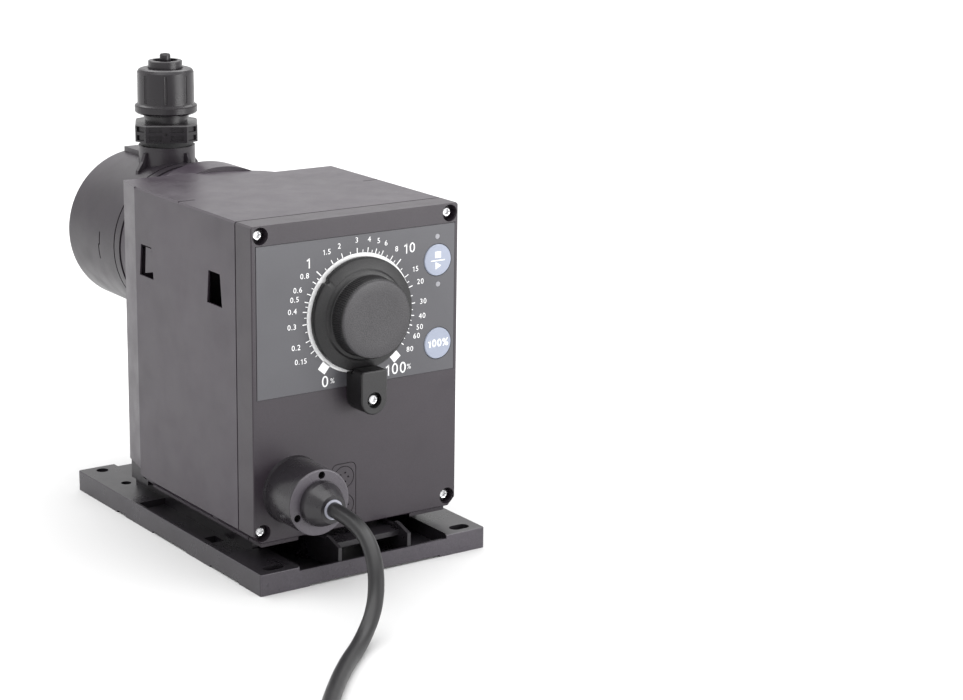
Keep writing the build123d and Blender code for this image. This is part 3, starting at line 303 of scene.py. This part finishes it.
# For each slot: how it is made, its base colour, its roughness, and what differs from the usual.
LOOKS = {
    "housing_plastic": (moulded, (0.037, 0.0285, 0.0385), 0.35, dict(speckle=0.16, clouds=0.10)),
    "cover_plastic": (moulded, (0.027, 0.0205, 0.0275), 0.36, dict(speckle=0.12, clouds=0.08)),
    # Plate: outer sides painted lighter as a painted highlight on the rim.
    "plate_plastic": (moulded, (0.015, 0.0132, 0.016), 0.30,
                      dict(grain=0.7 * MM, speckle=0.14, clouds=0.16, faces=PLATE_SIDE_HIGHLIGHTS)),
    "head_plastic": (moulded, (0.029, 0.0235, 0.030), 0.38, dict(speckle=0.12, clouds=0.22)),
    "black_plastic": (moulded, (0.013, 0.0105, 0.0135), 0.28,
                      dict(grain=0.6 * MM, depth=0.02 * MM, clouds=0.14)),
    # Gland: front face painted lighter as a painted sheen.
    "gland_plastic": (moulded, (0.019, 0.017, 0.020), 0.27,
                      dict(grain=0.6 * MM, depth=0.02 * MM, clouds=0.14, faces=[(4.2, "Y", GLAND_FRONT)])),
    # Knob: front face painted lighter as a painted sheen; its sides keep the dark base colour.
    "knob_plastic": (moulded, (0.008, 0.0075, 0.0083), 0.42,
                     dict(grain=0.55 * MM, depth=0.07 * MM, speckle=0.42, clouds=0.12,
                          faces=[(4.3, "Y", KNOB_FRONT)])),
    "foil_grey": (printed, (0.078, 0.077, 0.086), 0.34, {}),
    "key_lavender": (printed, (0.320, 0.352, 0.440), 0.30, {}),
    "led_lens": (printed, (0.300, 0.300, 0.325), 0.25, {}),
    "screw_steel": (metal, (0.780, 0.780, 0.790), 0.24, dict(depth=0.004 * MM)),
    "shaft_steel": (metal, (0.560, 0.565, 0.580), 0.28, dict(stretch=(0.1, 1.0, 1.0))),
    "bracket_steel": (metal, (0.430, 0.440, 0.460), 0.42, dict(streak=4 * MM)),
    "motor_black": (moulded, (0.050, 0.050, 0.055), 0.40, {}),
    "gear_nylon": (moulded, (0.780, 0.760, 0.690), 0.45, dict(depth=0.01 * MM, speckle=0.02)),
    "bush_bronze": (metal, (0.640, 0.440, 0.220), 0.34, {}),
    "seal_rubber": (moulded, (0.022, 0.022, 0.023), 0.62, dict(sheen=0.15)),
    "seal_lavender": (moulded, (0.380, 0.385, 0.450), 0.45, dict(speckle=0.03, clouds=0.04)),
    "white_plastic": (printed, (0.930, 0.930, 0.935), 0.42, {}),
    "ceramic": (printed, (0.900, 0.890, 0.860), 0.12, {}),
    "circuit_green": (moulded, (0.030, 0.130, 0.055), 0.35, dict(grain=2.5 * MM, clouds=0.2)),
    "module_grey": (moulded, (0.140, 0.140, 0.150), 0.50, {}),
    "cable_jacket": (moulded, (0.007, 0.0066, 0.0075), 0.40, dict(grain=0.8 * MM, depth=0.02 * MM)),
    "plug_plastic": (moulded, (0.016, 0.015, 0.017), 0.36, dict(clouds=0.10)),
    "pin_nickel": (metal, (0.780, 0.770, 0.740), 0.20, dict(depth=0.003 * MM)),
}
MATERIALS = {name: make(name, colour, roughness, **more)
             for name, (make, colour, roughness, more) in LOOKS.items()}


def dress_nodes():
    """Every CAD node takes the material of the slot that the record gives it."""
    for row in frame["record"]["subparts"]:
        for place in NODES[row["node"]].material_slots:
            place.material = MATERIALS[row["material_slot"]]


# ---- mesh tools ---------------------------------------------------------------
def facing_front(x, y, z):
    """Local Z towards the viewer in front (-Y), local X to the right, local Y up."""
    return Matrix.Translation((x, y, z)) @ Matrix.Rotation(pi / 2, 4, "X")


def add_piece(name, mesh_source, slot, body, smooth_angle=None):
    """Turn a bmesh into a piece with its slot's material, under its body."""
    bmesh.ops.recalc_face_normals(mesh_source, faces=mesh_source.faces)
    mesh = bpy.data.meshes.new(name)
    mesh_source.to_mesh(mesh)
    mesh_source.free()
    mesh.materials.append(MATERIALS[slot])
    piece = bpy.data.objects.new(name, mesh)
    bpy.context.scene.collection.objects.link(piece)
    if smooth_angle:
        mesh.shade_smooth()
        mesh.set_sharp_from_angle(angle=radians(smooth_angle))
    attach(piece, body)
    return piece


def add_turned(target, outline, place, steps=96, reach=None):
    """Body of revolution about local Z. Its outline is (radius, height) pairs, closed on the axis or
    by ending where it starts."""
    rings = []
    for radius, height in outline:
        if radius == 0:
            rings.append([target.verts.new(place @ Vector((0, 0, height)))])
            continue
        ring = []
        for k in range(steps):
            angle = 2 * pi * k / steps
            r = reach(radius, height, angle) if reach else radius
            ring.append(target.verts.new(place @ Vector((r * cos(angle), r * sin(angle), height))))
        rings.append(ring)
    for low, high in zip(rings, rings[1:]):
        for k in range(steps):
            after = (k + 1) % steps
            if len(low) == 1:
                target.faces.new((low[0], high[k], high[after]))
            elif len(high) == 1:
                target.faces.new((low[k], low[after], high[0]))
            else:
                target.faces.new((low[k], low[after], high[after], high[k]))


def add_prism(target, points, place, thickness):
    """Flat shape of local (x, y) points, standing up from local Z = 0."""
    low = [target.verts.new(place @ Vector((x, y, 0))) for x, y in points]
    high = [target.verts.new(place @ Vector((x, y, thickness))) for x, y in points]
    target.faces.new(low)
    target.faces.new(high)
    for k in range(len(points)):
        after = (k + 1) % len(points)
        target.faces.new((low[k], low[after], high[after], high[k]))


def add_bar(target, start, end, width, place, thickness):
    """Straight printed stroke between two local points."""
    along = (Vector(end) - Vector(start)).normalized()
    side = Vector((-along.y, along.x)) * width / 2
    corners = [Vector(start) + side, Vector(start) - side, Vector(end) - side, Vector(end) + side]
    add_prism(target, [tuple(c) for c in corners], place, thickness)


def add_glyph(target, glyph, size, place, thickness, weight):
    """One printed character of the built-in font, its line centred on the place."""
    curve = bpy.data.curves.new("glyph", "FONT")
    curve.body = glyph
    curve.size = size
    curve.align_x = "CENTER"
    curve.align_y = "CENTER"
    curve.extrude = thickness / 2
    curve.offset = weight
    curve.resolution_u = 4
    holder = bpy.data.objects.new("glyph", curve)
    bpy.context.scene.collection.objects.link(holder)
    mesh = holder.to_mesh()
    mesh.transform(place @ Matrix.Translation((0, 0, thickness / 2)))
    target.from_mesh(mesh)
    holder.to_mesh_clear()
    bpy.data.objects.remove(holder)
    bpy.data.curves.remove(curve)


# Parts of the text's size: the step after a character, and the measures of a drawn 1.
ADVANCE = {".": 0.26, "1": 0.50, "%": 0.78}
DIGIT_ADVANCE, CAP_HALF, STEM = 0.58, 0.345, 0.085
STEM_SHIFT, FLAG_ACROSS, FLAG_DOWN = 0.07, 0.19, 0.17


def add_text(target, words, size, x, y, place, thickness, weight=0.0):
    """Printed digits and signs, centred on local (x, y); a 1 is a stem with a flag."""
    stem = STEM * size + 2 * weight
    pen = x - size * sum(ADVANCE.get(glyph, DIGIT_ADVANCE) for glyph in words) / 2
    for glyph in words:
        advance = size * ADVANCE.get(glyph, DIGIT_ADVANCE)
        middle = pen + advance / 2
        pen += advance
        if glyph == "1":
            edge, top = middle + STEM_SHIFT * size, y + CAP_HALF * size
            flag = (edge - FLAG_ACROSS * size, top - FLAG_DOWN * size)
            add_bar(target, (edge, y - CAP_HALF * size), (edge, top), stem, place, thickness)
            add_bar(target, flag, (edge, top - stem / 2), stem, place, thickness)
        else:
            add_glyph(target, glyph, size, place @ Matrix.Translation((middle, y, 0)), thickness, weight)


# ---- coil tie -----------------------------------------------------------------
TIE_TURN, TIE_WIDTH, TIE_STEPS, TIE_SMOOTH = 20.0, 4.0 * MM, 72, 40
TIE_INNER, TIE_OUTER = 0.15 * MM, 0.9 * MM      # the strap's two faces, from the cord's surface


def bundle_section():
    """Centres of the coil's turns where the tie crosses them, as (radius, height) pairs."""
    first = ((TIE_TURN - COIL_START) % 360) / 360
    section = []
    for k in range(int(COIL_TURNS - first) + 1):
        turns = first + k
        section.append((coil_radius(turns), coil_height(turns)))
    return section


def add_tie():
    """Strap pulled tight round the coil's bundle, and flattened where it lies on the floor."""
    section = bundle_section()
    place = Matrix.Translation(COIL) @ Matrix.Rotation(radians(TIE_TURN), 4, "Z")
    strap = bmesh.new()
    loops = []
    for side, reach in ((-1, TIE_INNER), (1, TIE_INNER), (1, TIE_OUTER), (-1, TIE_OUTER)):
        loop = []
        for k in range(TIE_STEPS):
            out = Vector((cos(2 * pi * k / TIE_STEPS), sin(2 * pi * k / TIE_STEPS)))
            r, z = max(section, key=lambda centre: out.dot(Vector(centre)))
            r += (LEAD_R + reach) * out.x
            z = max(0.0, z + (LEAD_R + reach) * out.y)
            loop.append(strap.verts.new(place @ Vector((r, side * TIE_WIDTH / 2, z))))
        loops.append(loop)
    for low, high in zip(loops, loops[1:] + loops[:1]):
        for k in range(TIE_STEPS):
            after = (k + 1) % TIE_STEPS
            strap.faces.new((low[k], low[after], high[after], high[k]))
    piece = add_piece("coil_strap", strap, "seal_rubber", STILL, TIE_SMOOTH)
    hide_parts("coil_tie")
    return piece


# ---- dial ---------------------------------------------------------------------
DIAL_X, DIAL_Z = 1.2 * MM, 117.0 * MM
INK = 0.05 * MM
RING_INNER, RING_OUTER = 24.4 * MM, 27.4 * MM
RING_STEPS, WELD = 160, 0.001 * MM
DECADE_TURN, ONE_AT = 91.0, 136.0               # degrees for each decade, and where 1 is
LABELS = ("0.15", "0.2", "0.3", "0.4", "0.5", "0.6", "0.8", "1.5", "2", "3", "4", "5", "6", "8",
          "15", "20", "30", "40", "50", "60", "80")
BETWEEN = (0.13, 0.175, 0.25, 0.35, 0.45, 0.7, 0.9, 1.2, 1.75, 2.5, 3.5, 4.5, 5.5, 7, 9, 12, 17.5,
           25, 35, 45, 55, 70)
STROKE_START = RING_OUTER - 0.3 * MM            # strokes overlap the ring a little
LABEL_STROKE, BETWEEN_STROKE = (29.7 * MM, 0.42 * MM), (28.7 * MM, 0.36 * MM)     # reach, width
DECADE_STROKE = (31.0 * MM, 0.5 * MM)
LABEL_SIZE, LABEL_R = 3.45 * MM, 33.2 * MM
LABEL_SPREAD = 0.95 * MM                        # added to LABEL_R for each further character, at the sides
DECADE_SIZE, DECADES = 6.5 * MM, ((1, "1", 36.8 * MM), (10, "10", 37.3 * MM))
END_TURNS, END_INNER, END_OUTER, END_WIDTH = (230.5, -50.0), 27.0 * MM, 31.6 * MM, 4.4 * MM
END_SIZE, PERCENT_SIZE = 7.4 * MM, 3.4 * MM
END_LABELS = (("0", END_SIZE, -18.1 * MM, -29.4 * MM), ("%", PERCENT_SIZE, -14.3 * MM, -29.4 * MM),
              ("100", END_SIZE, 19.3 * MM, -28.8 * MM), ("%", PERCENT_SIZE, 26.6 * MM, -28.6 * MM))


def scale_angle(value):
    """The scale is logarithmic and runs clockwise."""
    return radians(ONE_AT - DECADE_TURN * log10(value))


def at_angle(reach, angle):
    return reach * cos(angle), reach * sin(angle)


def add_stroke(target, angle, stroke, place):
    reach, width = stroke
    add_bar(target, at_angle(STROKE_START, angle), at_angle(reach, angle), width, place, INK)


def add_dial_scale():
    """Printed ring, strokes, end marks and numbers around the knob."""
    place = facing_front(DIAL_X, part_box("keypad_foil")[0].y, DIAL_Z)
    scale = bmesh.new()
    outline = [(RING_INNER, 0), (RING_OUTER, 0), (RING_OUTER, INK), (RING_INNER, INK), (RING_INNER, 0)]
    add_turned(scale, outline, place, RING_STEPS)
    bmesh.ops.remove_doubles(scale, verts=scale.verts, dist=WELD)
    for label in LABELS:
        angle = scale_angle(float(label))
        add_stroke(scale, angle, LABEL_STROKE, place)
        reach = LABEL_R + LABEL_SPREAD * (len(label) - 1) * abs(cos(angle))
        add_text(scale, label, LABEL_SIZE, *at_angle(reach, angle), place, INK)
    for value in BETWEEN:
        add_stroke(scale, scale_angle(value), BETWEEN_STROKE, place)
    for value, label, reach in DECADES:
        angle = scale_angle(value)
        add_stroke(scale, angle, DECADE_STROKE, place)
        add_text(scale, label, DECADE_SIZE, *at_angle(reach, angle), place, INK)
    for turn in END_TURNS:
        angle = radians(turn)
        add_bar(scale, at_angle(END_INNER, angle), at_angle(END_OUTER, angle), END_WIDTH, place, INK)
    for label, size, x, z in END_LABELS:
        add_text(scale, label, size, x, z, place, INK)
    add_piece("dial_scale", scale, "white_plastic", STILL)


NOTCH_AT, NOTCH_HALF, NOTCH_R = radians(138.0), radians(3.2), 24.3 * MM
SKIRT_TOP, GRIP_LOW, GRIP_HIGH = 4.0 * MM, 6.4 * MM, 13.1 * MM
RIBS, RIB_DEPTH, RIB_STEPS, KNOB_SMOOTH = 108, 0.35 * MM, 4, 35
KNOB_OUTLINE = [(0, 0), (24.9, 0), (25.8, 0.5), (25.8, 2.7), (25.6, 3.2), (25.1, 3.5), (21.2, 4.1),
                (20.7, 4.3), (20.4, 4.8), (20.0, 5.3), (19.3, 5.5), (18.7, 5.6), (18.4, 5.9),
                (18.3, 6.5), (18.0, 12.9), (17.8, 13.2), (17.4, 13.55), (16.6, 13.7), (12.0, 13.62),
                (6.0, 13.58), (0, 13.57)]        # millimetres from the axis, and up from the back


def knob_reach(radius, height, angle):
    """Radius of the knob, with the pointed notch in its skirt and ribs round its grip."""
    if height < SKIRT_TOP and radius > NOTCH_R:
        away = abs((angle - NOTCH_AT + pi) % (2 * pi) - pi) / NOTCH_HALF
        return min(radius, NOTCH_R + (radius - NOTCH_R) * away)
    if GRIP_LOW < height < GRIP_HIGH:
        return radius + RIB_DEPTH / 2 * cos(RIBS * angle)
    return radius


def add_knob():
    """Dial knob: skirt with a pointer notch, stepped shoulder and a ribbed grip."""
    place = facing_front(DIAL_X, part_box("adjustment_knob")[1].y, DIAL_Z)
    knob = bmesh.new()
    add_turned(knob, [(r * MM, h * MM) for r, h in KNOB_OUTLINE], place, RIBS * RIB_STEPS, knob_reach)
    piece = add_piece("dial_knob", knob, "knob_plastic", "dial", KNOB_SMOOTH)
    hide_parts("adjustment_knob")


# ---- keys ---------------------------------------------------------------------
START_KEY, FULL_KEY = (43.0 * MM, 136.3 * MM), (43.4 * MM, 97.3 * MM)
STOP_WIDTH, STOP_HEIGHT, STOP_UP = 3.2 * MM, 2.9 * MM, 2.5 * MM
LINE_WIDTH, LINE_HEIGHT, LINE_UP = 7.6 * MM, 0.45 * MM, -0.2 * MM
RUN_ARROW = [(-1.3 * MM, -4.3 * MM), (1.7 * MM, -2.6 * MM), (-1.3 * MM, -0.9 * MM)]
FULL_SIZE, FULL_WEIGHT = 4.9 * MM, 0.12 * MM


def on_key(centre, node):
    """Place of a mark on the front of a key."""
    return facing_front(centre[0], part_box(node)[0].y, centre[1])


def add_level_bar(target, width, height, up, place):
    add_bar(target, (-width / 2, up), (width / 2, up), height, place, INK)


def add_key_marks():
    """Stop square, line and run arrow on one key, and 100% on the other."""
    place = on_key(START_KEY, "start_stop_key")
    start = bmesh.new()
    add_level_bar(start, STOP_WIDTH, STOP_HEIGHT, STOP_UP, place)
    add_level_bar(start, LINE_WIDTH, LINE_HEIGHT, LINE_UP, place)
    add_prism(start, RUN_ARROW, place, INK)
    add_piece("start_stop_mark", start, "white_plastic", "start_stop_button")
    full = bmesh.new()
    add_text(full, "100%", FULL_SIZE, 0, 0, on_key(FULL_KEY, "full_flow_key"), INK, FULL_WEIGHT)
    add_piece("full_flow_mark", full, "white_plastic", "full_flow_button")


# ---- screws -------------------------------------------------------------------
LOBES, LOBE_DEPTH, SOCKET = 6, 0.16, 0.52       # depth as a part of the socket, socket of the head
SCREW_STEPS, SCREW_SMOOTH = 48, 30
COVER_HEAD_R, COVER_HEAD_H, COVER_SHANK_R, COVER_LENGTH = 2.7 * MM, 2.4 * MM, 1.45 * MM, 17 * MM
TAB_HEAD_H, TAB_SHANK_R = 2.0 * MM, 1.2 * MM


def add_torx_screw(target, place, head_r, head_h, shank_r, length):
    """Domed head with a six-lobed socket; local Z = 0 is under the head."""
    socket = SOCKET * head_r

    def reach(radius, height, angle):
        is_socket = radius <= socket and height > 0
        return radius * (1 + LOBE_DEPTH * cos(LOBES * angle)) if is_socket else radius

    outline = [(0, head_h * 0.45), (socket * 0.93, head_h * 0.45), (socket, head_h * 0.97),
               (socket * 1.28, head_h), (head_r * 0.86, head_h * 0.88), (head_r * 0.97, head_h * 0.68),
               (head_r, head_h * 0.45), (head_r, 0), (shank_r, 0), (shank_r, -length), (0, -length)]
    add_turned(target, outline, place, SCREW_STEPS, reach)


def add_cover_screws():
    """One screw deep in each corner of the cover."""
    low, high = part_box("cover_screws")
    under_head = low.y + COVER_HEAD_H
    screws = bmesh.new()
    for x in (low.x + COVER_HEAD_R, high.x - COVER_HEAD_R):
        for z in (low.z + COVER_HEAD_R, high.z - COVER_HEAD_R):
            add_torx_screw(screws, facing_front(x, under_head, z), COVER_HEAD_R, COVER_HEAD_H,
                           COVER_SHANK_R, COVER_LENGTH)
    piece = add_piece("cover_screw_set", screws, "screw_steel", STILL, SCREW_SMOOTH)
    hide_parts("cover_screws")


def add_guard_screw():
    """The screw of the block that guards the knob."""
    low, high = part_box("tab_screw")
    middle = (low + high) / 2
    under_head = low.y + TAB_HEAD_H
    screw = bmesh.new()
    add_torx_screw(screw, facing_front(middle.x, under_head, middle.z), (high.x - low.x) / 2, TAB_HEAD_H,
                   TAB_SHANK_R, high.y - under_head)
    piece = add_piece("guard_screw", screw, "screw_steel", STILL, SCREW_SMOOTH)
    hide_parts("tab_screw")


# ---- stage --------------------------------------------------------------------
FLOOR_COLOUR, FLOOR_ROUGHNESS, FLOOR_HALF, FLOOR_CLOUD_SIZE = (0.66, 0.66, 0.66), 0.80, 6.0, 0.4
WHITE, SKY_STRENGTH = (1.0, 1.0, 1.0, 1.0), 0.90


def add_floor():
    """Pale floor with a barely uneven colour."""
    material, tree, surface, place = blank("floor", FLOOR_COLOUR, FLOOR_ROUGHNESS)
    tint(tree, surface, FLOOR_COLOUR, spread(tree, noise(tree, place, FLOOR_CLOUD_SIZE), 0.99, 1.01))
    flat = bmesh.new()
    corners = ((-1, -1), (1, -1), (1, 1), (-1, 1))
    flat.faces.new([flat.verts.new((x * FLOOR_HALF, y * FLOOR_HALF, 0)) for x, y in corners])
    mesh = bpy.data.meshes.new("floor")
    flat.to_mesh(mesh)
    flat.free()
    mesh.materials.append(material)
    floor = bpy.data.objects.new("floor", mesh)
    bpy.context.scene.collection.objects.link(floor)


def add_lamp(name, place, aim, width, height, power):
    """Rectangular light that points from its place to its aim; power in watts."""
    data = bpy.data.lights.new(name, "AREA")
    data.shape = "RECTANGLE"
    data.size, data.size_y = width, height
    data.energy = power
    lamp = bpy.data.objects.new(name, data)
    bpy.context.scene.collection.objects.link(lamp)
    lamp.location = place
    lamp.rotation_euler = (Vector(aim) - Vector(place)).to_track_quat("-Z", "Y").to_euler()


def add_light():
    """White surroundings, a wide light overhead and a low one at the front right."""
    world = bpy.data.worlds.new("studio")
    bpy.context.scene.world = world
    world.use_nodes = True
    sky = world.node_tree.nodes["Background"]
    sky.inputs["Color"].default_value = WHITE
    sky.inputs["Strength"].default_value = SKY_STRENGTH
    add_lamp("overhead", place=(0.6, 1.2, 3.0), aim=(0.6, 1.2, 0.0), width=6.0, height=6.0, power=240)
    add_lamp("front", place=(0.85, -1.45, 0.26), aim=(0.0, 0.0, 0.1), width=1.1, height=0.5, power=13)
    bpy.context.scene.view_settings.view_transform = "Standard"


dress_nodes()
MAINS_CORD.data.materials.append(MATERIALS["cable_jacket"])
add_tie()
add_dial_scale()
add_knob()
add_key_marks()
add_cover_screws()
add_guard_screw()
add_floor()
add_light()
